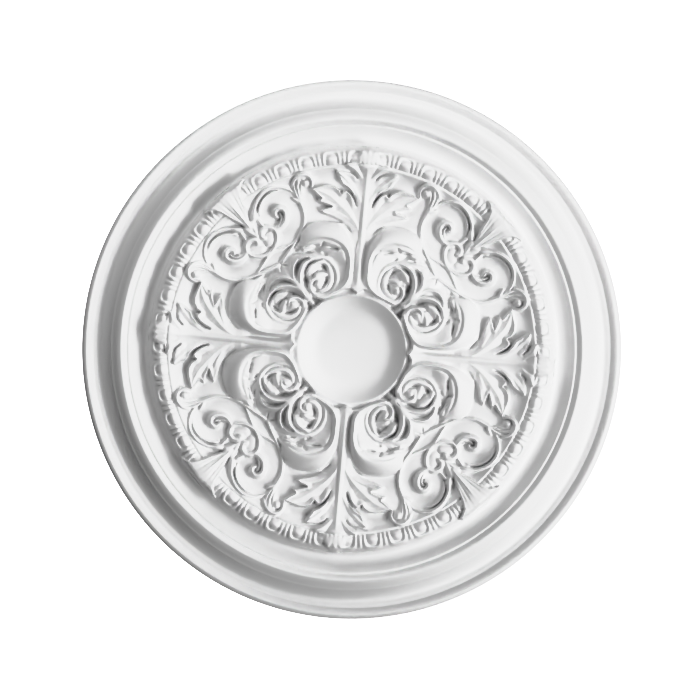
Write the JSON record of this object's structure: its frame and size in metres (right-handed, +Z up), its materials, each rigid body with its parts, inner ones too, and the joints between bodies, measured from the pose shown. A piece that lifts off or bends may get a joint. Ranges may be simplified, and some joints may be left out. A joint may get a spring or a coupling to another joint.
{
  "type": "ceiling rose",
  "caption": "Round white ceiling rose: plain dished centre, four acanthus leaves with scrolls and fans between, an egg-and-dart band and turned outer mouldings.",
  "frame": {"origin": "centre of the flat back, where the rose meets the ceiling", "axes": "+Z up, out of the flat back into the ceiling, so the carved face looks down; the four acanthus leaves lie along +X, -X, +Y and -Y"},
  "size_m": [0.7, 0.7, 0.0512],
  "materials": {
    "white_paint": "white primed moulding, smooth and dull"
  },
  "bodies": {
    "root": {"ceiling_rose": "white_paint"}
  },
  "joints": []
}
